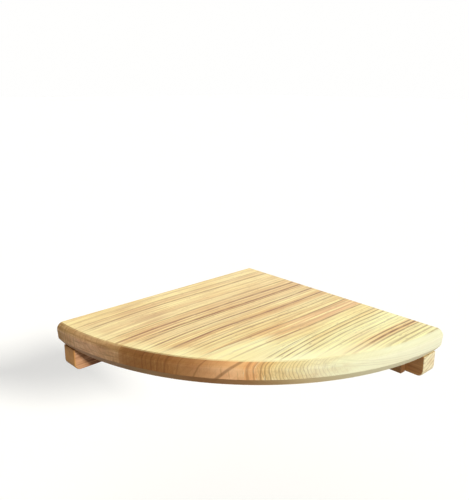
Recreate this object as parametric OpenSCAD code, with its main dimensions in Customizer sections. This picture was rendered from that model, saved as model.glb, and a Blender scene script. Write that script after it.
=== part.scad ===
// Corner shelf: a quarter-round pine board, glued up from three staves, on two wall cleats.
// The origin is in the corner of the room, on the level line where the underside of the board
// meets the tops of the cleats. The right-hand wall is y = 0 and runs along +X, the left-hand wall
// is x = 0 and runs along -Y, and +Z is up, so the board fills x > 0, y < 0. Sizes are in
// millimetres.

/* [Board] */
// Radius of the board, from the corner of the room to the front edge
board_r = 300; // [280:5:400]
// Thickness of the board
board_t = 28; // [26:1:40]
// Width of the stave against the left wall
stave_left_w = 98; // [75:1:120]
// Width of the middle stave
stave_middle_w = 111; // [85:1:125]

/* [Front edge] */
// Radius of the rounding along the top of the front edge
top_round = 7.5; // [4:0.5:12]
// Angle at which the face below the rounding leans in
face_lean = 5; // [0:1:20]
// How far the bevel reaches up from the underside
bevel_up = 9.5; // [5:0.5:11]
// How far the bevel reaches in from the foot of the face
bevel_in = 7.5; // [4:0.5:10]
// Radius that softens both edges of the bevel
bevel_ease = 1; // [0.5:0.5:2]

/* [Cleats] */
// Thickness of a cleat, out from its wall
cleat_t = 22; // [18:1:30]
// Height of a cleat
cleat_h = 25; // [22:1:28]
// How far a cleat's outer end stops short of the front edge
cleat_setback = 7; // [2:1:25]
// Radius of the lower outer corner of a cleat
cleat_corner_r = 8; // [5:1:16]
// Radius that softens a cleat's edges on the room side
cleat_ease = 1.5; // [0.5:0.5:3]
// Gap in the corner between the end of the left cleat and the side of the right one
corner_gap = 2; // [1:0.5:5]

/* [Batten] */
// Thickness of the batten that stiffens the board across its grain
batten_t = 9; // [8:0.5:14]
// How far the batten stops short of the front edge
batten_setback = 29; // [15:1:60]
// Radius that softens the lower edges of the batten
batten_ease = 1; // [0.5:0.5:2]
// Gap that lets the board and its batten drop in beside the right cleat
batten_gap = 0.5; // [0.3:0.1:2]

/* [Holes for the wall screws] */
// Diameter of a hole for a wall screw
wall_hole_d = 5; // [4:0.5:6]
// Diameter of the countersink on the room side
wall_sink_d = 10; // [8:0.5:12]
// Distance from either end of a cleat to the nearer hole
wall_hole_inset = 75; // [65:1:85]

/* [Cleat screws] */
// Diameter of a screw that joins a cleat to the board
screw_d = 4; // [3.5:0.5:5]
// Diameter of its head
screw_head_d = 8; // [7:0.5:10]
// Length of the screw, head included
screw_l = 45; // [40:1:45]
// Distance from either end of the left cleat to the nearest screw
screw_inset = 30; // [20:1:40]

/* [Batten screws] */
// Diameter of a screw that joins the batten to the board
pin_screw_d = 3; // [2.5:0.5:3.5]
// Diameter of its head
pin_screw_head_d = 6; // [5:0.5:7]
// Length of the screw, head included
pin_screw_l = 40; // [36:1:42]

/* [Fits] */
// Clearance all round a screw's shank in a cleat or in the batten
shank_gap = 0.25; // [0.1:0.05:0.5]
// Clearance all round the head in its countersink and the thread's core in the board
seat_gap = 0.05; // [0.03:0.01:0.2]
// Depth left below the point of a screw in its pilot hole
point_gap = 1; // [0.5:0.5:1.5]

/* [Hidden] */
$fn = 96;

// How far a cutting shape runs past the face that it cuts
over = 1;
// Angle between the points that round the board's section
round_step = 15;
// Where the two glue lines of the board run, measured from the left wall
seam_1 = stave_left_w;
seam_2 = stave_left_w + stave_middle_w;
// Where the cleats and the batten start and end, measured from the corner of the room
cleat_end = board_r - cleat_setback;
left_cleat_start = cleat_t + corner_gap;
batten_start = cleat_t + corner_gap;
batten_end = board_r - batten_setback;
// Side of the batten that faces the right cleat, measured from the right wall
batten_side = cleat_t + batten_gap;
// The batten is as tall as the cleats, so their undersides are level
batten_h = cleat_h;

// Sizes of a countersunk wood screw that follow from its diameter
function core_r(d) = 0.32 * d;
function rim_h(d) = 0.1 * d;
function point_h(d) = 1.1 * d;
function cone_h(d, head_d) = (head_d - d) / 2;
function plain_shank_l(length) = 0.45 * length;

// Three screws spread evenly along the left cleat, and one under the middle of each stave on the other two
function middle(a, b) = (a + b) / 2;
left_screw_from = left_cleat_start + screw_inset;
left_screw_to = cleat_end - screw_inset;
left_screw_y = [left_screw_from, middle(left_screw_from, left_screw_to), left_screw_to];
right_screw_x = [middle(0, seam_1), middle(seam_1, seam_2), middle(seam_2, cleat_end)];
batten_screw_x = [middle(batten_start, seam_1), middle(seam_1, seam_2), middle(seam_2, batten_end)];
// The lines on which the screws stand, measured from their walls
cleat_axis = cleat_t / 2;
batten_axis = batten_side + batten_t / 2;
// The wall holes of a cleat that runs from a start to an end
function wall_holes(start) = [start + wall_hole_inset, cleat_end - wall_hole_inset];

wood_pale = [0.93, 0.83, 0.62];
wood_brown = [0.80, 0.60, 0.40];
wood_cream = [0.96, 0.88, 0.68];
wood_cleat = [0.84, 0.67, 0.46];
zinc = [0.72, 0.72, 0.70];

// A rectangle from the origin whose far corner is rounded
module eased_rectangle(width, height, radius) {
    square([width, height - radius]);
    square([width - radius, height]);
    translate([width - radius, height - radius])
        circle(r = radius);
}

// Points that round a corner of an outline, where its direction turns from one angle to another
function rounded(corner, radius, from, to) =
    let (
        steps = ceil((to - from) / round_step),
        start = corner - radius * tan((to - from) / 2) * [cos(from), sin(from)],
        centre = start + radius * [-sin(from), cos(from)]
    )
    [
        for (i = [0 : steps])
            let (a = from + (to - from) * i / steps)
            centre + radius * [sin(a), -cos(a)]
    ];

// Section through the board: flat underside, bevel, face that leans out up to the widest line, and rounded
// top. The leaning face, drawn on, meets the top at brow_x, so that the rounding just reaches board_r.
module board_section() {
    bevel_angle = atan2(bevel_up, bevel_in);
    face_angle = 90 - face_lean;
    brow_x = board_r + top_round * (tan(45 + face_lean / 2) - 1);
    foot_x = brow_x - (board_t - bevel_up) * tan(face_lean);
    polygon([
        [0, 0],
        each rounded([foot_x - bevel_in, 0], bevel_ease, 0, bevel_angle),
        each rounded([foot_x, bevel_up], bevel_ease, bevel_angle, face_angle),
        each rounded([brow_x, board_t], top_round, face_angle, 180),
        [0, board_t],
    ]);
}

// The whole quarter-round board before it is cut along its glue lines
module board_blank() {
    rotate([0, 0, -90])
        rotate_extrude(angle = 90)
            board_section();
}

// What lies of the board between two distances from the left wall, with its pilot holes
module stave(from, to) {
    difference() {
        intersection() {
            board_blank();
            translate([from, -board_r - over, -over])
                cube([to - from, board_r + 2 * over, board_t + 2 * over]);
        }
        for (y = left_screw_y)
            translate([cleat_axis, -y, 0])
                pilot_hole(screw_d, screw_l - cleat_h);
        for (x = right_screw_x)
            translate([x, -cleat_axis, 0])
                pilot_hole(screw_d, screw_l - cleat_h);
        for (x = batten_screw_x)
            translate([x, -batten_axis, 0])
                pilot_hole(pin_screw_d, pin_screw_l - batten_h);
    }
}

// A blind hole up into the board for the thread of a screw that reaches this far in
module pilot_hole(d, reach) {
    translate([0, 0, -over])
        cylinder(r = core_r(d) + seat_gap, h = reach + point_gap + over);
}

// A bar from the origin along +X with its back on y = 0 and its top on z = 0. Its lower outer corner is
// rounded, and its edges on the room side are eased all the way along the bottom, the corner and the end.
module cleat_bar(length) {
    // the straight run
    rotate([90, 0, 90])
        linear_extrude(height = length - cleat_corner_r)
            rotate(180)
                eased_rectangle(cleat_t, cleat_h, cleat_ease);
    // the rounded corner
    translate([length - cleat_corner_r, 0, cleat_corner_r - cleat_h])
        rotate([90, 0, 0])
            rotate([0, 0, -90])
                rotate_extrude(angle = 90)
                    eased_rectangle(cleat_corner_r, cleat_t, cleat_ease);
    // the upright end above the corner
    translate([length - cleat_corner_r, 0, cleat_corner_r - cleat_h])
        mirror([0, 1, 0])
            linear_extrude(height = cleat_h - cleat_corner_r)
                eased_rectangle(cleat_corner_r, cleat_t, cleat_ease);
}

// A screw hole up through a piece of this height, countersunk at its underside
module countersunk_hole(d, head_d, height) {
    translate([0, 0, -height - over])
        cylinder(r = d / 2 + shank_gap, h = height + 2 * over);
    translate([0, 0, -height - over])
        cylinder(r = head_d / 2 + seat_gap, h = over + rim_h(d));
    translate([0, 0, rim_h(d) - height])
        cylinder(r1 = head_d / 2 + seat_gap, r2 = d / 2 + seat_gap, h = cone_h(d, head_d));
}

// A wall screw's hole from the wall to the room side, countersunk there. It starts at the origin along -Y.
module wall_hole() {
    sink_h = (wall_sink_d - wall_hole_d) / 2;
    rotate([90, 0, 0]) {
        translate([0, 0, -over])
            cylinder(d = wall_hole_d, h = cleat_t + 2 * over);
        translate([0, 0, cleat_t - sink_h])
            cylinder(d1 = wall_hole_d, d2 = wall_sink_d, h = sink_h);
    }
}

// A countersunk wood screw that stands on the origin with its head down
module wood_screw(d, head_d, length) {
    difference() {
        union() {
            cylinder(d = head_d, h = rim_h(d));
            translate([0, 0, rim_h(d)])
                cylinder(d1 = head_d, d2 = d, h = cone_h(d, head_d));
            cylinder(d = d, h = plain_shank_l(length));
            cylinder(r = core_r(d), h = length - point_h(d));
            translate([0, 0, length - point_h(d)])
                cylinder(r1 = core_r(d), r2 = 0, h = point_h(d));
        }
        cross_drive(head_d);
    }
}

// The tapered cross in the head of a screw, sunk into it from the origin
module cross_drive(head_d) {
    drive_w = 0.14 * head_d;
    drive_r = 0.29 * head_d;
    drive_tip_r = 0.12 * head_d;
    drive_h = 0.3 * head_d;
    // the cone starts below the head, so its mouth is wider there by the same taper
    drive_mouth_r = drive_r + over * (drive_r - drive_tip_r) / drive_h;
    intersection() {
        translate([0, 0, -over])
            cylinder(r1 = drive_mouth_r, r2 = drive_tip_r, h = drive_h + over);
        for (turn = [0, 90])
            rotate([0, 0, turn])
                cube([2 * head_d, drive_w, 2 * drive_h], center = true);
    }
}

module stave_left() {
    color(wood_pale)
        stave(-over, seam_1);
}

module stave_middle() {
    color(wood_brown)
        stave(seam_1, seam_2);
}

module stave_right() {
    color(wood_cream)
        stave(seam_2, board_r + over);
}

module left_cleat() {
    color(wood_cleat)
        difference() {
            rotate([0, 0, -90])
                translate([left_cleat_start, 0, 0])
                    mirror([0, 1, 0])
                        cleat_bar(cleat_end - left_cleat_start);
            for (y = left_screw_y)
                translate([cleat_axis, -y, 0])
                    countersunk_hole(screw_d, screw_head_d, cleat_h);
            for (y = wall_holes(left_cleat_start))
                translate([0, -y, -cleat_h / 2])
                    rotate([0, 0, 90])
                        wall_hole();
        }
}

module right_cleat() {
    color(wood_cleat)
        difference() {
            cleat_bar(cleat_end);
            for (x = right_screw_x)
                translate([x, -cleat_axis, 0])
                    countersunk_hole(screw_d, screw_head_d, cleat_h);
            for (x = wall_holes(0))
                translate([x, 0, -cleat_h / 2])
                    wall_hole();
        }
}

module batten() {
    color(wood_cleat)
        difference() {
            translate([batten_start, -batten_side, 0])
                rotate([90, 0, 90])
                    linear_extrude(height = batten_end - batten_start)
                        rotate(180)
                            eased_rectangle(batten_t, batten_h, batten_ease);
            for (x = batten_screw_x)
                translate([x, -batten_axis, 0])
                    countersunk_hole(pin_screw_d, pin_screw_head_d, batten_h);
        }
}

module left_cleat_screw(i) {
    color(zinc)
        translate([cleat_axis, -left_screw_y[i - 1], -cleat_h])
            wood_screw(screw_d, screw_head_d, screw_l);
}

module right_cleat_screw(i) {
    color(zinc)
        translate([right_screw_x[i - 1], -cleat_axis, -cleat_h])
            wood_screw(screw_d, screw_head_d, screw_l);
}

module batten_screw(i) {
    color(zinc)
        translate([batten_screw_x[i - 1], -batten_axis, -batten_h])
            wood_screw(pin_screw_d, pin_screw_head_d, pin_screw_l);
}

stave_left();
stave_middle();
stave_right();
left_cleat();
right_cleat();
batten();
left_cleat_screw(1);  // left_cleat_screw_1
left_cleat_screw(2);  // left_cleat_screw_2
left_cleat_screw(3);  // left_cleat_screw_3
right_cleat_screw(1);  // right_cleat_screw_1
right_cleat_screw(2);  // right_cleat_screw_2
right_cleat_screw(3);  // right_cleat_screw_3
batten_screw(1);  // batten_screw_1
batten_screw(2);  // batten_screw_2
batten_screw(3);  // batten_screw_3
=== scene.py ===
"""Looks of a floating corner shelf: solid pine staves, pine cleats and zinc screws in a soft studio light.

Lengths are in metres, in the part's own frame. Only the wood is worked out in millimetres: as growth rings
round a pith line that runs along the grain, with rings and lines of its own for the end grain.
"""

import math

import bpy
from mathutils import Matrix, Vector

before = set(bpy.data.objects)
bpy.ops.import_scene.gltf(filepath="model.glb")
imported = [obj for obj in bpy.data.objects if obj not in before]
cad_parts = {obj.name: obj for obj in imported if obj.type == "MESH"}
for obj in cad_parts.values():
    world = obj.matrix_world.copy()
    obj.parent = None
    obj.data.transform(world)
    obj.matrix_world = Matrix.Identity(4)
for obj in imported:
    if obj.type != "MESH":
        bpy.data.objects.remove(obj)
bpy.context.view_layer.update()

MM_PER_M = 1000.0
BOARD_RADIUS = 300.0
BOARD_MIDDLE = 14.0

# Camera, solved from the outlines in the photograph, with its angles in degrees
IMAGE_HEIGHT_PX = 500
CAMERA_FOCAL_PX = 586.5
CAMERA_PLACE = (0.57254, -0.57019, 0.28386)
CAMERA_YAW = 46.664
CAMERA_PITCH = -15.832
CAMERA_ROLL = 0.314
SENSOR_MM = 36.0
CLIP_START = 0.01
CLIP_END = 50.0


def bearing(azimuth, elevation):
    """The direction at this azimuth and elevation, both in degrees."""
    turn, rise = math.radians(azimuth), math.radians(elevation)
    return (math.cos(turn) * math.cos(rise), math.sin(turn) * math.cos(rise), math.sin(rise))


# Lamps as (name, strength, angular size in degrees, direction that the light comes from, colour):
# a low warm key from the right, and broad ones from above and from behind
LAMPS = [
    ("key", 2.6, 6.0, bearing(-10.0, 26.0), (1.0, 0.98, 0.92)),
    ("top", 1.2, 70.0, (0.15, -0.2, 1.0), (1.0, 1.0, 1.0)),
    ("back", 1.0, 70.0, (-0.65, 0.7, 0.3), (1.0, 1.0, 1.0)),
]

# The sky lights the object evenly, and is seen as a pale backdrop
SKY_STRENGTH = 0.17
SKY_LIGHT = (1.0, 0.985, 0.96, 1.0)
SKY_SEEN = (1.0, 0.998, 0.99, 1.0)

# The floor: its paint and a faint glow as seen, and the darker paint that its bounced light comes from
FLOOR_Z = -0.45
FLOOR_SIDE = 60.0
FLOOR_SEEN = (0.95, 0.94, 0.92, 1.0)
FLOOR_GLOW = (0.10, 0.105, 0.105, 1.0)
FLOOR_BOUNCE = (0.13, 0.115, 0.10, 1.0)
NO_GLOW = (0.0, 0.0, 0.0, 1.0)

# Wandering offsets in the wood, as turns per millimetre across and along the grain, reach and detail
SLOW_WANDER = (0.03, 0.007, 6.0, 1.0)
QUICK_WANDER = (0.2, 0.018, 1.6, 2.0)
PATCH_OUTLINE = (0.16, 0.008, 1.8, 2.0)
RIM_OUTLINE = (0.09, 0.015, 26.0, 2.0)
END_RING_WANDER = (0.12, 0.12, 1.5, 1.0)
END_LINE_WANDER = (0.1, 0.1, 1.6, 1.0)

# Marks along the grain, as turns per millimetre across and along it, detail and roughness
STREAKS = (0.4, 0.008, 2.0, 0.6)
FIBRES = (1.1, 0.03, 3.0, 0.6)
DASHES = (0.8, 0.09, 1.0, 0.5)
LINE_BREAKS = (0.25, 0.05, 2.0, 0.5)
REDNESS = (0.03, 0.012, 3.0, 0.5)

# Marks on the end grain, as turns per millimetre across and up, layer, detail and roughness
SAWN = (0.5, 0.07, 0.0, 3.0, 0.6)
PORES = (1.5, 0.5, 0.0, 3.0, 0.5)
MOTTLE = (0.07, 0.12, 3.0, 3.0, 0.5)
LEVEL_STREAKS = (0.03, 0.36, 4.0, 2.0, 0.5)

# The share of a ring that looks dark, and how far out in it the dark stops sharply
LATE_SHARE = 0.18
END_LATE_SHARE = 0.24
LATE_STOP = 0.86

# In from the board's radius, the pale rim is whole as far as RIM_WHOLE, and then fades until it is gone
# at RIM_MARGIN and the wood's own reach together
RIM_MARGIN = 12.0
RIM_WHOLE = 8.0

# How far a face has to turn towards the end of the grain to begin to show end grain, and to show it whole
END_BEGINS = 0.14
END_WHOLE = 0.42

# Matt lacquer on the wood, and relief as (strength, depth in metres)
LACQUER_SPECULAR = 0.22
LACQUER_ROUGHNESS = (0.42, 0.66)
WOOD_RELIEF = (0.3, 0.00015)
ZINC_ROUGHNESS = (0.24, 0.4)
ZINC_RELIEF = (0.2, 0.00005)


def rgb(red, green, blue):
    """A colour given in the usual 0 to 255 steps, as the linear values that shaders use."""

    def linear(step):
        c = step / 255
        return c / 12.92 if c <= 0.04045 else ((c + 0.055) / 1.055) ** 2.4

    return (linear(red), linear(green), linear(blue), 1.0)


# Tints that the pieces share. The two that start with BACK are for the board's end grain on y = 0.
UNSUNNED = rgb(230, 184, 146)
BACK_END = rgb(226, 184, 132)
BACK_END_EARLY = rgb(238, 200, 150)
REDDENED = rgb(236, 196, 140)
MOTTLED = rgb(226, 196, 168)
# painted shade for the strip of a bar's top that shows under the board
BAR_TOP_PAINTED_SHADE = rgb(206, 192, 172)
ZINC_GREY = rgb(205, 206, 205)
ZINC_YELLOW = rgb(214, 207, 186)

# One kind of wood per piece. Places and widths are in millimetres, and a place is one across the grain.
# grain is the axis that the grain runs along, top is how high the upper face lies, and span is where the
# piece starts and stops. pith is the middle of the growth rings as (across, up), and ring is how far apart
# they are. bend is how the grain leans away, as the distance along it where that begins and the share of
# the square of what lies beyond. tones are broad colours and lines are single dark late-wood lines as
# (place, width, strength), both placed on the top face. patches are broad soft marks as (across, along,
# half width, half length, colour, strength), and some of them are painted light and shade, as said at each.
# late and early are the colours of dark lines and pale streaks. Only the staves have a pale rim along the
# front edge, which is a painted highlight and also washes out the dark lines there: pale_rim is its
# strength and the distance from y = 0 at which it is whole, rim_reach is how far in it comes at each place,
# and rim is its colour. What starts with end is the same for the end grain, where end_depth is how strong
# the rings are at each place, end_lines are (place, lean, width, strength) and end_streaks is how strong
# the level streaks are. bevel is the colour of the bevel, and arris is what the colour of the rounding is
# multiplied by; both are painted light and shade, and the rounding is darkened to hold back its highlight.
LEFT_STAVE = dict(
    grain="Y",
    top=28,
    pith=(150, 150),
    span=(0, 98),
    bend=(150, 0.0004),
    ring=4.2,
    tones=[
        (0, rgb(237, 211, 143)),
        (14, rgb(247, 227, 159)),
        (24, rgb(237, 209, 145)),
        (36, rgb(243, 221, 155)),
        (52, rgb(233, 201, 137)),
        (62, rgb(245, 223, 159)),
        (74, rgb(227, 191, 127)),
        (84, rgb(235, 205, 141)),
        (98, rgb(223, 181, 117)),
    ],
    late=rgb(150, 98, 40),
    lines=[
        (8, 1.6, 0.4),
        (20.5, 1.8, 0.6),
        (27, 1.2, 0.2),
        (32.5, 2.0, 0.75),
        (48, 1.2, 0.15),
        (57, 1.6, 0.4),
        (64, 1.4, 0.2),
        (70, 1.8, 0.65),
        (76, 1.4, 0.25),
        (83.5, 1.8, 0.9),
        (89, 1.4, 0.4),
        (96.8, 2.2, 0.95),
    ],
    patches=[
        # both patches are partly darker wood and partly painted shade, the soft edge of a shadow across the
        # top
        (40, -214, 44, 40, rgb(206, 162, 108), 0.5),
        (86, -228, 16, 44, rgb(216, 170, 114), 0.5),
    ],
    pale_rim=(0.4, 0),
    rim_reach=[(0, 10), (98, 10)],
    rim=rgb(253, 241, 176),
    early=rgb(254, 238, 166),
    end_pith=(150, 110),
    end_ring=7.0,
    end_depth=[(0, 0.55), (34, 0.38), (98, 0.5)],
    end_tones=[
        (0, rgb(196, 156, 104)),
        (16, rgb(222, 180, 130)),
        (40, rgb(232, 188, 146)),
        (58, rgb(228, 184, 144)),
        (84, rgb(210, 168, 124)),
        (98, rgb(192, 150, 104)),
    ],
    end_late=rgb(124, 84, 50),
    end_early=rgb(246, 210, 166),
    end_streaks=0.6,
    # arris and bevel carry painted shade and light on the front edge's moulding
    arris=[(0, rgb(208, 204, 180)), (98, rgb(212, 208, 186))],
    bevel=[
        (0, rgb(204, 158, 112)),
        (45, rgb(210, 164, 120)),
        (76, rgb(180, 134, 86)),
        (98, rgb(170, 126, 80)),
    ],
    end_lines=[
        (6, 0.0, 2.2, 0.35),
        (11, -0.05, 1.8, 0.3),
        (16, 0.0, 1.6, 0.4),
        (20, 0.05, 1.6, 0.3),
        (26, 0.1, 2.2, 0.25),
        (32.5, 0.0, 1.6, 0.4),
        (43, -0.7, 2.6, 0.2),
        (52, -0.9, 2.2, 0.26),
        (61, -0.9, 2.4, 0.28),
        (69, -0.8, 1.8, 0.24),
        (77, -0.8, 2.2, 0.3),
        (88, -0.6, 2.0, 0.2),
    ],
)
MIDDLE_STAVE = dict(
    grain="Y",
    top=28,
    pith=(-40, 150),
    span=(98, 209),
    bend=(150, 0.0004),
    ring=4.6,
    tones=[
        (98, rgb(232, 200, 134)),
        (106, rgb(242, 216, 152)),
        (118, rgb(238, 212, 148)),
        (126, rgb(230, 196, 128)),
        (138, rgb(224, 182, 114)),
        (146, rgb(244, 224, 160)),
        (160, rgb(232, 206, 138)),
        (172, rgb(230, 190, 122)),
        (188, rgb(232, 192, 126)),
        (196, rgb(246, 228, 154)),
        (209, rgb(248, 234, 162)),
    ],
    late=rgb(140, 84, 32),
    lines=[
        (100.5, 1.6, 0.75),
        (105, 1.2, 0.35),
        (111.5, 1.6, 0.5),
        (116.5, 2.0, 0.9),
        (121, 1.2, 0.4),
        (125, 1.2, 0.3),
        (133.5, 2.8, 0.9),
        (137, 1.4, 0.5),
        (147, 1.6, 0.55),
        (153, 1.8, 0.8),
        (159, 1.2, 0.35),
        (164, 1.2, 0.35),
        (170, 2.0, 0.75),
        (175, 1.2, 0.3),
        (184, 1.4, 0.4),
        (192.8, 2.2, 0.8),
        (198, 1.2, 0.3),
        (206, 1.4, 0.4),
    ],
    patches=[
        # the two pale patches near the front edge are painted highlight
        (196, -205, 30, 64, rgb(255, 252, 192), 0.95),
        (158, -266, 24, 34, rgb(254, 248, 184), 0.75),
        # a narrow strip of painted shade
        (197, -118, 7, 50, rgb(222, 176, 116), 0.4),
        (182, -50, 12, 84, rgb(238, 188, 132), 0.6),
    ],
    pale_rim=(0.7, 0),
    rim_reach=[(98, 18), (172, 18), (190, 46), (209, 42)],
    rim=rgb(254, 246, 184),
    early=rgb(254, 238, 166),
    end_pith=(20, 130),
    end_ring=5.0,
    end_depth=[(98, 0.6), (150, 0.45), (172, 0.22), (209, 0.2)],
    end_tones=[
        (98, rgb(178, 132, 86)),
        (103, rgb(160, 114, 68)),
        (122, rgb(151, 104, 56)),
        (138, rgb(154, 106, 58)),
        (150, rgb(166, 118, 68)),
        (168, rgb(182, 132, 84)),
        (185, rgb(220, 168, 118)),
        (200, rgb(252, 202, 150)),
        (209, rgb(252, 202, 146)),
    ],
    end_late=rgb(104, 62, 24),
    end_early=rgb(190, 142, 90),
    # arris and bevel carry painted shade and light on the front edge's moulding
    arris=[(98, rgb(210, 204, 180)), (150, rgb(220, 212, 190)), (209, rgb(232, 226, 208))],
    bevel=[
        (98, rgb(168, 126, 80)),
        (127, rgb(190, 148, 96)),
        (172, rgb(164, 111, 56)),
        (209, rgb(182, 133, 80)),
    ],
    end_lines=[
        (116, 0.0, 1.4, 0.4),
        (124, 0.05, 2.0, 0.5),
        (128, 0.0, 1.2, 0.4),
        (133, 0.05, 1.6, 0.55),
        (139, 0.1, 1.4, 0.45),
        (146, 0.15, 2.2, 0.45),
        (157, 0.25, 1.6, 0.35),
        (173, 0.45, 1.8, 0.4),
        (193.1, 0.92, 4.4, 0.55),
    ],
)
RIGHT_STAVE = dict(
    grain="Y",
    top=28,
    pith=(340, 120),
    span=(209, 300),
    bend=(40, 0.0005),
    ring=3.4,
    tones=[
        (209, rgb(250, 238, 170)),
        (216, rgb(244, 224, 152)),
        (228, rgb(252, 246, 180)),
        (242, rgb(255, 252, 190)),
        (252, rgb(251, 240, 172)),
        (258, rgb(244, 212, 146)),
        (267, rgb(242, 208, 142)),
        (272, rgb(253, 247, 182)),
        (300, rgb(255, 254, 192)),
    ],
    late=rgb(136, 94, 34),
    lines=[
        (206.5, 1.4, 0.65),
        (213, 1.6, 0.75),
        (218.5, 1.6, 0.78),
        (224.5, 1.4, 0.7),
        (230.5, 1.6, 0.65),
        (235.5, 1.2, 0.35),
        (243, 1.6, 0.55),
        (248, 1.2, 0.25),
        (252.5, 1.2, 0.35),
        (259.5, 1.8, 0.9),
        (265.5, 2.2, 1.0),
        (270.5, 1.6, 0.75),
        (276, 1.4, 0.5),
        (282, 1.6, 0.65),
        (287.5, 1.4, 0.55),
        (294.3, 1.8, 0.8),
    ],
    patches=[
        (244, -75, 8, 26, rgb(244, 214, 158), 0.4),
        # a pale patch near the front edge, painted highlight
        (216, -172, 24, 56, rgb(255, 254, 200), 0.75),
    ],
    pale_rim=(0.8, 110),
    rim_reach=[(209, 36), (214, 8), (231, 2), (239, 22), (300, 22)],
    rim=rgb(254, 250, 200),
    early=rgb(255, 248, 178),
    end_pith=(296, 23),
    end_ring=2.1,
    end_depth=[(209, 0.4), (226, 1.0), (246, 1.0), (258, 0.5), (272, 0.12), (300, 0.05)],
    end_tones=[
        (209, rgb(255, 196, 134)),
        (216, rgb(255, 200, 140)),
        (223, rgb(255, 220, 152)),
        (231, rgb(255, 236, 176)),
        (244, rgb(255, 242, 188)),
        (254, rgb(255, 248, 206)),
        (265, rgb(255, 255, 214)),
        (300, rgb(255, 255, 224)),
    ],
    end_late=rgb(112, 60, 14),
    end_early=rgb(255, 250, 214),
    # arris is painted shade that holds back the highlight on the rounding, and the bevel is lifted with
    # painted light where it lies in shade
    arris=[
        (209, rgb(230, 226, 214)),
        (246, rgb(230, 228, 216)),
        (265, rgb(230, 230, 222)),
        (300, rgb(230, 230, 222)),
    ],
    bevel=[
        (209, rgb(184, 135, 82)),
        (228, rgb(216, 178, 124)),
        (246, rgb(250, 224, 170)),
        (272, rgb(255, 246, 202)),
        (300, rgb(255, 248, 214)),
    ],
    end_lines=[
        (211.5, 0.0, 2.8, 0.45),
        (216, 0.02, 1.2, 0.45),
        (220.5, 0.0, 1.4, 0.55),
        (223.5, -0.02, 1.2, 0.5),
        (226.5, -0.04, 1.2, 0.5),
        (283, -3.0, 3.4, 0.16),
        (290, -3.0, 3.0, 0.14),
        (298, -2.8, 3.4, 0.12),
    ],
)
LEFT_CLEAT = dict(
    grain="Y",
    top=0,
    pith=(-30, -70),
    span=(0, 22),
    bend=(0, 0.00002),
    ring=3.0,
    tones=[(0, rgb(220, 170, 130)), (22, rgb(222, 174, 134))],
    late=rgb(150, 88, 44),
    early=rgb(234, 188, 142),
    lines=[(5, 1.6, 0.6), (12, 1.6, 0.5), (18, 1.8, 0.6)],
    # a dark patch on the cleat's inner face and underside: painted shade from the board above
    patches=[(22, -232, 15, 62, rgb(132, 66, 22), 0.94)],
    end_pith=(-20, -50),
    end_ring=2.6,
    end_depth=[(0, 0.5), (22, 0.5)],
    end_tones=[(0, rgb(218, 164, 103)), (22, rgb(224, 168, 103))],
    end_late=rgb(150, 98, 56),
    end_early=rgb(222, 176, 124),
)
RIGHT_CLEAT = dict(
    grain="X",
    top=0,
    pith=(-60, -60),
    span=(-22, 0),
    bend=(0, 0.00002),
    ring=3.0,
    tones=[(-22, rgb(206, 152, 98)), (0, rgb(224, 178, 124))],
    late=rgb(134, 82, 36),
    early=rgb(222, 172, 116),
    lines=[(-19, 1.6, 0.6), (-12, 1.4, 0.5), (-6, 1.4, 0.5)],
    end_pith=(-30, 34),
    end_ring=5.0,
    end_depth=[(-22, 1.0), (0, 1.0)],
    end_tones=[(-22, rgb(255, 248, 206)), (0, rgb(255, 244, 206))],
    end_late=rgb(140, 88, 46),
    end_early=rgb(252, 234, 196),
)
BATTEN = dict(
    grain="X",
    top=0,
    pith=(-80, 25),
    span=(-31.5, -22.5),
    bend=(0, 0.00002),
    ring=2.6,
    tones=[(-31.5, rgb(168, 122, 76)), (-22.5, rgb(168, 122, 76))],
    late=rgb(124, 78, 36),
    early=rgb(184, 138, 90),
    lines=[(-27, 1.4, 0.5)],
    end_pith=(-60, 10),
    end_ring=2.6,
    end_depth=[(-31.5, 0.5), (-22.5, 0.5)],
    # the end's dark colours are painted shade, for the board's shadow on it
    end_tones=[(-31.5, rgb(132, 92, 54)), (-22.5, rgb(132, 92, 54))],
    end_late=rgb(110, 70, 36),
    end_early=rgb(150, 108, 66),
)


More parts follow.
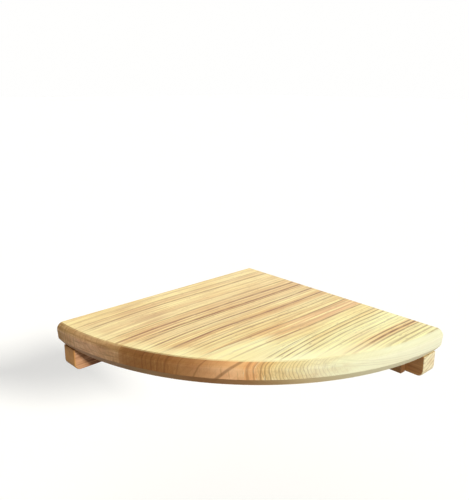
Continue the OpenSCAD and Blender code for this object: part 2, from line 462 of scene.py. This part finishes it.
class Shader:
    """Adds nodes to a material or a world. What it is fed is a number, a colour or the output of a node."""

    def __init__(self, owner):
        self.owner = owner
        owner.use_nodes = True
        self.tree = owner.node_tree
        self.tree.nodes.clear()

    def node(self, kind, *values, **settings):
        """A new node with these settings, and with these values in its first inputs."""
        made = self.tree.nodes.new(kind)
        for key, value in settings.items():
            setattr(made, key, value)
        for socket, value in zip(made.inputs, values):
            self.feed(socket, value)
        return made

    def feed(self, socket, value):
        if isinstance(value, bpy.types.NodeSocket):
            self.tree.links.new(value, socket)
        else:
            socket.default_value = value

    def math(self, operation, *values):
        return self.node("ShaderNodeMath", *values, operation=operation).outputs[0]

    def plus(self, a, b):
        return self.math("ADD", a, b)

    def minus(self, a, b):
        return self.math("SUBTRACT", a, b)

    def times(self, a, b):
        return self.math("MULTIPLY", a, b)

    def over(self, a, b):
        return self.math("DIVIDE", a, b)

    def larger(self, a, b):
        return self.math("MAXIMUM", a, b)

    def size(self, a):
        return self.math("ABSOLUTE", a)

    def hypotenuse(self, a, b):
        """Length of the diagonal of a and b."""
        return self.math("SQRT", self.plus(self.times(a, a), self.times(b, b)))

    def vector(self, x, y, z):
        return self.node("ShaderNodeCombineXYZ", x, y, z).outputs[0]

    def noise(self, vector, scale=1.0, detail=2.0, roughness=0.5):
        made = self.node("ShaderNodeTexNoise", vector, noise_dimensions="3D")
        made.inputs["Scale"].default_value = scale
        made.inputs["Detail"].default_value = detail
        made.inputs["Roughness"].default_value = roughness
        return made.outputs["Fac"]

    def span(self, value, low, high, to_low=0.0, to_high=1.0, smooth=True):
        """Maps the stretch from low to high onto the one from to_low to to_high, and stops at its ends."""
        kind = "SMOOTHSTEP" if smooth else "LINEAR"
        values = (value, low, high, to_low, to_high)
        return self.node("ShaderNodeMapRange", *values, clamp=True, interpolation_type=kind).outputs[0]

    def ramp(self, factor, stops):
        """A colour ramp through (position, colour) stops in rising order."""
        made = self.node("ShaderNodeValToRGB", factor)
        elements = made.color_ramp.elements
        while len(elements) < len(stops):
            elements.new(1.0)
        # a move can reorder the elements, so the colours come after all the positions
        for element, (position, _) in zip(elements, stops):
            element.position = position
        for element, (_, colour) in zip(elements, stops):
            element.color = colour
        return made.outputs[0]

    def mix(self, factor, a, b, blend="MIX"):
        made = self.node("ShaderNodeMix", data_type="RGBA", blend_type=blend, clamp_factor=True)
        self.feed(made.inputs["Factor"], factor)
        self.feed(made.inputs[6], a)
        self.feed(made.inputs[7], b)
        return made.outputs[2]

    def principled(self, colour, roughness, relief, strength, depth):
        """A glossy surface that is raised by the relief."""
        bump = self.node("ShaderNodeBump")
        bump.inputs["Strength"].default_value = strength
        bump.inputs["Distance"].default_value = depth
        self.feed(bump.inputs["Height"], relief)
        made = self.node("ShaderNodeBsdfPrincipled")
        self.feed(made.inputs["Base Color"], colour)
        self.feed(made.inputs["Roughness"], roughness)
        self.feed(made.inputs["Normal"], bump.outputs[0])
        return made

    def seen_by_camera(self):
        """1 for what the camera sees, directly, in a gloss or through glass, and 0 for other light."""
        path = self.node("ShaderNodeLightPath")
        seen = self.larger(path.outputs["Is Camera Ray"], path.outputs["Is Glossy Ray"])
        return self.larger(seen, path.outputs["Is Transmission Ray"])

    def finish(self, surface, output="ShaderNodeOutputMaterial"):
        self.tree.links.new(surface, self.node(output).inputs["Surface"])
        return self.owner


class Pine(Shader):
    """Pine with rings, late-wood lines, fibres, resin dashes and its own end grain, under a matt lacquer.

    A noise stays near 0.5, mostly between 0.3 and 0.7, so a span over a part of that says how much of the
    wood a mark covers and how soft its border is.
    """

    def __init__(self, name, wood):
        super().__init__(bpy.data.materials.new(name))
        self.wood = wood
        self.on_board = "pale_rim" in wood
        coordinates = self.node("ShaderNodeTexCoord")
        in_mm = self.node("ShaderNodeVectorMath", coordinates.outputs["Object"], operation="SCALE")
        in_mm.inputs["Scale"].default_value = MM_PER_M
        x, y, self.up = self.node("ShaderNodeSeparateXYZ", in_mm.outputs[0]).outputs
        normal = self.node("ShaderNodeSeparateXYZ", coordinates.outputs["Normal"]).outputs
        self.normal_x, self.normal_y, self.normal_z = normal
        grain_along_y = wood["grain"] == "Y"
        self.across, self.along = (x, y) if grain_along_y else (y, x)

        # the front edge shows end grain all the way round, and a bar's top, of which only a strip shows
        # under the bevel, takes the colour of its end, with painted shade over it
        end_normal = self.normal_y if grain_along_y else self.normal_x
        other_normal = self.normal_x if self.on_board else self.normal_z
        facing = self.larger(self.size(end_normal), other_normal)
        self.end = self.span(facing, END_BEGINS, END_WHOLE)

        # the grain leans away towards the far end, and wanders a little all along
        bend_from, bend = wood["bend"]
        beyond = self.larger(self.minus(self.size(self.along), bend_from), 0.0)
        self.leaned = self.minus(self.across, self.times(self.times(beyond, beyond), bend))
        wander = self.plus(self.sway(*SLOW_WANDER), self.sway(*QUICK_WANDER))
        self.radius = self.distance(self.plus(self.leaned, wander), wood["pith"])

        swell_place = self.vector(self.times(self.radius, 0.16), self.times(self.along, 0.006), 7.0)
        self.swell = self.noise(swell_place, detail=1.0)
        self.streak = self.marks(*STREAKS, base=self.leaned)
        self.fibre = self.marks(*FIBRES, base=self.leaned)
        self.redness = self.marks(*REDNESS)
        self.share_across = self.span(self.across, *wood["span"], smooth=False)

    def marks(self, across_turns, along_turns, detail, roughness, base=None):
        """A noise that is drawn out along the grain."""
        vector = self.vector(
            self.times(self.across if base is None else base, across_turns),
            self.times(self.along, along_turns),
            self.times(self.up, across_turns),
        )
        return self.noise(vector, detail=detail, roughness=roughness)

    def end_marks(self, across_turns, up_turns, layer, detail, roughness):
        """A noise on the end grain."""
        vector = self.vector(self.times(self.across, across_turns), layer, self.times(self.up, up_turns))
        return self.noise(vector, detail=detail, roughness=roughness)

    def sway(self, across_turns, along_turns, reach, detail):
        """An offset that wanders to either side of nought."""
        return self.times(self.minus(self.marks(across_turns, along_turns, detail, 0.5), 0.5), reach)

    def distance(self, across, pith):
        return self.hypotenuse(self.minus(across, pith[0]), self.minus(self.up, pith[1]))

    def ring_at(self, x):
        """Distance from the pith of the ring that meets the top face at this place."""
        pith_across, pith_up = self.wood["pith"]
        return math.hypot(x - pith_across, self.wood["top"] - pith_up)

    def late_wood(self, radius, spacing, uneven, share):
        """Growth rings as thin dark lines: each darkens slowly outwards and stops sharply."""
        turn = self.math("FRACT", self.plus(self.over(radius, spacing), uneven))
        return self.times(self.math("POWER", turn, 1.0 / share), self.span(turn, LATE_STOP, 1.0, 1.0, 0.0))

    def colour_across(self, stops):
        """A colour ramp from one side of the piece to the other, through (place, colour) stops."""
        start, stop = self.wood["span"]
        shares = [((x - start) / (stop - start), colour) for x, colour in stops]
        return self.ramp(self.share_across, shares)

    def strength_across(self, stops):
        """The same for plain strengths from 0 to 1."""
        return self.colour_across([(x, (strength, strength, strength, 1.0)) for x, strength in stops])

    def broad_tones(self):
        """Broad bands of colour that follow the rings, with soft marks over them, some of which are painted
        light and shade.
        """
        low, high = sorted(self.ring_at(x) for x in self.wood["span"])
        stops = sorted(((self.ring_at(x) - low) / (high - low), tone) for x, tone in self.wood["tones"])
        colour = self.ramp(self.span(self.radius, low, high, smooth=False), stops)
        for x, y, half_width, half_length, mark, strength in self.wood.get("patches", ()):
            aside = self.over(self.minus(self.leaned, x), half_width)
            beyond = self.over(self.minus(self.along, y), half_length)
            ragged = self.plus(self.hypotenuse(aside, beyond), self.sway(*PATCH_OUTLINE))
            colour = self.mix(self.span(ragged, 0.45, 1.05, strength, 0.0), colour, mark)
        return colour

    def growth_rings(self):
        """Growth rings, some stronger than others."""
        place = self.vector(self.times(self.radius, 0.1), 0.0, 0.0)
        uneven = self.times(self.noise(place, detail=1.0), 2.5)
        ring = self.late_wood(self.radius, self.wood["ring"], uneven, LATE_SHARE)
        return self.times(ring, self.span(self.swell, 0.36, 0.6, 0.12, 0.75))

    def single_lines(self):
        """Single strong lines where the late wood is wide, a little broken."""
        lines = 0.0
        for x, width, strength in self.wood["lines"]:
            off = self.size(self.minus(self.radius, self.ring_at(x)))
            lines = self.larger(lines, self.span(off, 0.25 * width, 0.6 * width, strength, 0.0))
        return self.times(lines, self.span(self.marks(*LINE_BREAKS), 0.36, 0.54, 0.75, 1.0))

    def dark_marks(self):
        """Everything dark on the faces along the grain: rings, lines, fibres and short resin dashes."""
        fibres = self.larger(
            self.span(self.fibre, 0.46, 0.72, 0.0, 0.3),
            self.span(self.streak, 0.32, 0.46, 0.4, 0.0),
        )
        dashes = self.span(self.marks(*DASHES, base=self.leaned), 0.66, 0.72, 0.0, 0.45)
        lined = self.larger(self.growth_rings(), self.single_lines())
        return self.larger(lined, self.larger(fibres, dashes))

    def pale_rim(self):
        """How strongly the pale rim, a painted highlight, lies on the wood near the front edge."""
        strength, whole_from = self.wood["pale_rim"]
        reach = self.strength_across([(x, mm / BOARD_RADIUS) for x, mm in self.wood["rim_reach"]])
        begins = self.times(self.minus(1.0 - RIM_MARGIN / BOARD_RADIUS, reach), BOARD_RADIUS)
        out = self.plus(self.hypotenuse(self.across, self.along), self.sway(*RIM_OUTLINE))
        rim = self.span(out, begins, BOARD_RADIUS - RIM_WHOLE, 0.0, strength)
        if whole_from:
            rim = self.times(rim, self.span(self.size(self.along), 0.4 * whole_from, whole_from))
        return rim

    def long_grain(self):
        """The colour of the faces along the grain, and how dark their marks are."""
        wood = self.wood
        colour = self.mix(self.span(self.streak, 0.5, 0.64, 0.0, 0.8), self.broad_tones(), wood["early"])
        dark = self.dark_marks()
        if self.on_board:
            # the underside and the straight edge on x = 0 have seen no sun and are less yellow
            below = self.span(self.times(self.normal_z, -1.0), 0.9, 0.97, 0.0, 0.5)
            beside = self.span(self.times(self.normal_x, -1.0), 0.5, 0.8, 0.0, 0.5)
            colour = self.mix(self.larger(below, beside), colour, UNSUNNED)
            # the pale rim is a painted highlight: paler wood near the front edge, with its dark marks
            # washed out
            rim = self.pale_rim()
            dark = self.times(dark, self.minus(1.0, rim))
            colour = self.mix(self.times(rim, 0.8), colour, wood["rim"])
        colour = self.mix(dark, colour, wood["late"])
        reddened = self.span(self.redness, 0.4, 0.7, 0.0, 0.22)
        return self.mix(reddened, colour, REDDENED, "MULTIPLY"), dark

    def end_rings(self):
        """The rings of the end grain, round a pith of their own."""
        wood = self.wood
        radius = self.distance(self.plus(self.across, self.sway(*END_RING_WANDER)), wood["end_pith"])
        rings = self.late_wood(radius, wood["end_ring"], self.times(self.swell, 0.6), END_LATE_SHARE)
        stronger = self.noise(self.vector(self.times(radius, 0.45), 0.0, 5.0), detail=1.0)
        return self.times(rings, self.span(stronger, 0.36, 0.6, 0.6, 1.0))

    def end_lines(self):
        """Single lines on the end grain, each leaning its own way."""
        if "end_lines" not in self.wood:
            return 0.0
        lines = 0.0
        height = self.minus(self.up, BOARD_MIDDLE)
        for x, lean, width, strength in self.wood["end_lines"]:
            at = self.plus(self.plus(self.times(height, lean), x), self.sway(*END_LINE_WANDER))
            off = self.size(self.minus(self.across, at))
            lines = self.larger(lines, self.span(off, 0.15 * width, 0.65 * width, strength, 0.0))
        return lines

    def end_grain(self):
        """The colour of the end grain, at the front edge, on y = 0 and at the ends of the bars."""
        wood = self.wood
        colour = self.colour_across(wood["end_tones"])
        early = wood["end_early"]
        depth = self.strength_across(wood["end_depth"])
        at_back = self.span(self.normal_y, 0.5, 0.8)
        if self.on_board:
            colour = self.mix(self.times(at_back, 0.75), colour, BACK_END)
            early = self.mix(at_back, early, BACK_END_EARLY)
            depth = self.larger(depth, self.times(at_back, 0.5))
        dark = self.larger(self.times(self.end_rings(), depth), self.end_lines())

        # saw marks and pores
        sawn = self.end_marks(*SAWN)
        pores = self.end_marks(*PORES)
        specks = self.larger(self.span(sawn, 0.5, 0.72, 0.0, 0.8), self.span(pores, 0.45, 0.75, 0.0, 0.5))
        dark = self.larger(dark, self.times(specks, self.math("MINIMUM", depth, 0.5)))
        pale = self.mix(self.span(sawn, 0.3, 0.46, 0.5, 0.0), colour, early)

        # rings that lie nearly level come out as soft streaks along the front edge
        if "end_streaks" in wood:
            level = self.end_marks(*LEVEL_STREAKS)
            strength = self.times(self.minus(1.0, at_back), wood["end_streaks"])
            dark = self.larger(dark, self.times(self.span(level, 0.52, 0.66, 0.0, 0.8), strength))
            pale = self.mix(self.times(self.span(level, 0.34, 0.48, 1.0, 0.0), strength), pale, early)

        colour = self.mix(dark, pale, wood["end_late"])
        mottle = self.span(self.end_marks(*MOTTLE), 0.35, 0.7, 0.0, 0.35)
        cloudy = self.times(mottle, self.span(depth, 0.04, 0.2, 0.2, 1.0))
        colour = self.mix(cloudy, colour, MOTTLED, "MULTIPLY")
        if self.on_board:
            return self.moulded(colour)
        # a bar's upward faces are darkened: painted shade from the board above them
        return self.mix(self.span(self.normal_z, 0.2, 0.7), colour, BAR_TOP_PAINTED_SHADE, "MULTIPLY")

    def moulded(self, colour):
        """The front edge's colour, with painted light and shade on the bevel and the rounding."""
        down = self.times(self.normal_z, -1.0)
        on_bevel = self.times(self.span(down, 0.35, 0.5, 0.0, 0.9), self.span(down, 0.85, 0.95, 1.0, 0.0))
        colour = self.mix(on_bevel, colour, self.colour_across(self.wood["bevel"]))
        on_arris = self.span(self.normal_z, 0.0, 0.45)
        return self.mix(on_arris, colour, self.colour_across(self.wood["arris"]), "MULTIPLY")

    def make(self):
        """The finished material."""
        colour, dark = self.long_grain()
        colour = self.mix(self.end, colour, self.end_grain())
        dull = self.plus(self.times(self.end, 0.6), self.times(self.redness, 0.4))
        roughness = self.span(dull, 0.0, 1.0, *LACQUER_ROUGHNESS)
        relief = self.plus(self.times(dark, -0.6), self.times(self.fibre, -0.3))
        surface = self.principled(colour, roughness, relief, *WOOD_RELIEF)
        surface.inputs["Specular IOR Level"].default_value = LACQUER_SPECULAR
        return self.finish(surface.outputs[0])


def zinc(name):
    """Bright zinc plate, slightly uneven, with a faint yellow cast in its thinner patches."""
    s = Shader(bpy.data.materials.new(name))
    coordinates = s.node("ShaderNodeTexCoord")
    cloud = s.noise(coordinates.outputs["Object"], scale=900.0, detail=3.0)
    grit = s.noise(coordinates.outputs["Object"], scale=6000.0, detail=2.0)
    colour = s.ramp(cloud, [(0.35, ZINC_GREY), (0.65, ZINC_YELLOW)])
    roughness = s.span(cloud, 0.3, 0.7, *ZINC_ROUGHNESS)
    surface = s.principled(colour, roughness, grit, *ZINC_RELIEF)
    surface.inputs["Metallic"].default_value = 1.0
    return s.finish(surface.outputs[0])


def dress(node, material):
    """Gives a CAD piece its finish."""
    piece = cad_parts[node]
    piece.data.materials.clear()
    piece.data.materials.append(material)


def make_floor():
    mesh = bpy.data.meshes.new("floor")
    h = FLOOR_SIDE / 2
    corners = [(-h, -h, FLOOR_Z), (h, -h, FLOOR_Z), (h, h, FLOOR_Z), (-h, h, FLOOR_Z)]
    mesh.from_pydata(corners, [], [(0, 1, 2, 3)])
    floor = bpy.data.objects.new("floor", mesh)
    bpy.context.scene.collection.objects.link(floor)

    # from below the floor is clear, so that views from there show the object
    s = Shader(bpy.data.materials.new("floor_paint"))
    seen = s.seen_by_camera()
    paint = s.node("ShaderNodeBsdfDiffuse", s.mix(seen, FLOOR_BOUNCE, FLOOR_SEEN)).outputs[0]
    glow = s.node("ShaderNodeEmission", s.mix(seen, NO_GLOW, FLOOR_GLOW)).outputs[0]
    lit = s.node("ShaderNodeAddShader", paint, glow).outputs[0]
    clear = s.node("ShaderNodeBsdfTransparent").outputs[0]
    below = s.node("ShaderNodeNewGeometry").outputs["Backfacing"]
    mesh.materials.append(s.finish(s.node("ShaderNodeMixShader", below, lit, clear).outputs[0]))


def make_sky():
    world = bpy.data.worlds.new("studio")
    bpy.context.scene.world = world
    s = Shader(world)
    light = s.node("ShaderNodeBackground", SKY_LIGHT, SKY_STRENGTH).outputs[0]
    backdrop = s.node("ShaderNodeBackground", SKY_SEEN, 1.0).outputs[0]
    sky = s.node("ShaderNodeMixShader", s.seen_by_camera(), light, backdrop).outputs[0]
    s.finish(sky, "ShaderNodeOutputWorld")


def make_lamp(name, strength, angle, direction, colour):
    """A distant lamp that shines from this direction towards the origin."""
    lamp = bpy.data.lights.new(name, "SUN")
    lamp.energy = strength
    lamp.angle = math.radians(angle)
    lamp.color = colour
    holder = bpy.data.objects.new(name, lamp)
    holder.rotation_euler = Vector(direction).to_track_quat("Z", "Y").to_euler()
    bpy.context.scene.collection.objects.link(holder)


def make_camera():
    yaw, pitch, roll = (math.radians(a) for a in (CAMERA_YAW, CAMERA_PITCH, CAMERA_ROLL))
    forward = Vector((-math.sin(yaw) * math.cos(pitch), math.cos(yaw) * math.cos(pitch), math.sin(pitch)))
    level = Vector((math.cos(yaw), math.sin(yaw), 0.0))
    upright = level.cross(forward)
    right = math.cos(roll) * level + math.sin(roll) * upright
    above = math.cos(roll) * upright - math.sin(roll) * level
    lens = bpy.data.cameras.new("camera")
    lens.sensor_fit = "AUTO"
    lens.sensor_width = SENSOR_MM
    lens.lens = CAMERA_FOCAL_PX * SENSOR_MM / IMAGE_HEIGHT_PX
    lens.clip_start = CLIP_START
    lens.clip_end = CLIP_END
    holder = bpy.data.objects.new("camera", lens)
    turn = Matrix((right, above, -forward)).transposed().to_4x4()
    holder.matrix_world = Matrix.Translation(CAMERA_PLACE) @ turn
    bpy.context.scene.collection.objects.link(holder)
    bpy.context.scene.camera = holder


WOODEN = {
    "stave_left": LEFT_STAVE,
    "stave_middle": MIDDLE_STAVE,
    "stave_right": RIGHT_STAVE,
    "left_cleat": LEFT_CLEAT,
    "right_cleat": RIGHT_CLEAT,
    "batten": BATTEN,
}
for node, wood in WOODEN.items():
    dress(node, Pine("pine_" + node, wood).make())
screw_finish = zinc("zinc_screw_finish")
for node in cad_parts:
    if "screw" in node:
        dress(node, screw_finish)

make_floor()
make_sky()
for lamp in LAMPS:
    make_lamp(*lamp)
make_camera()
bpy.context.scene.view_settings.view_transform = "Standard"
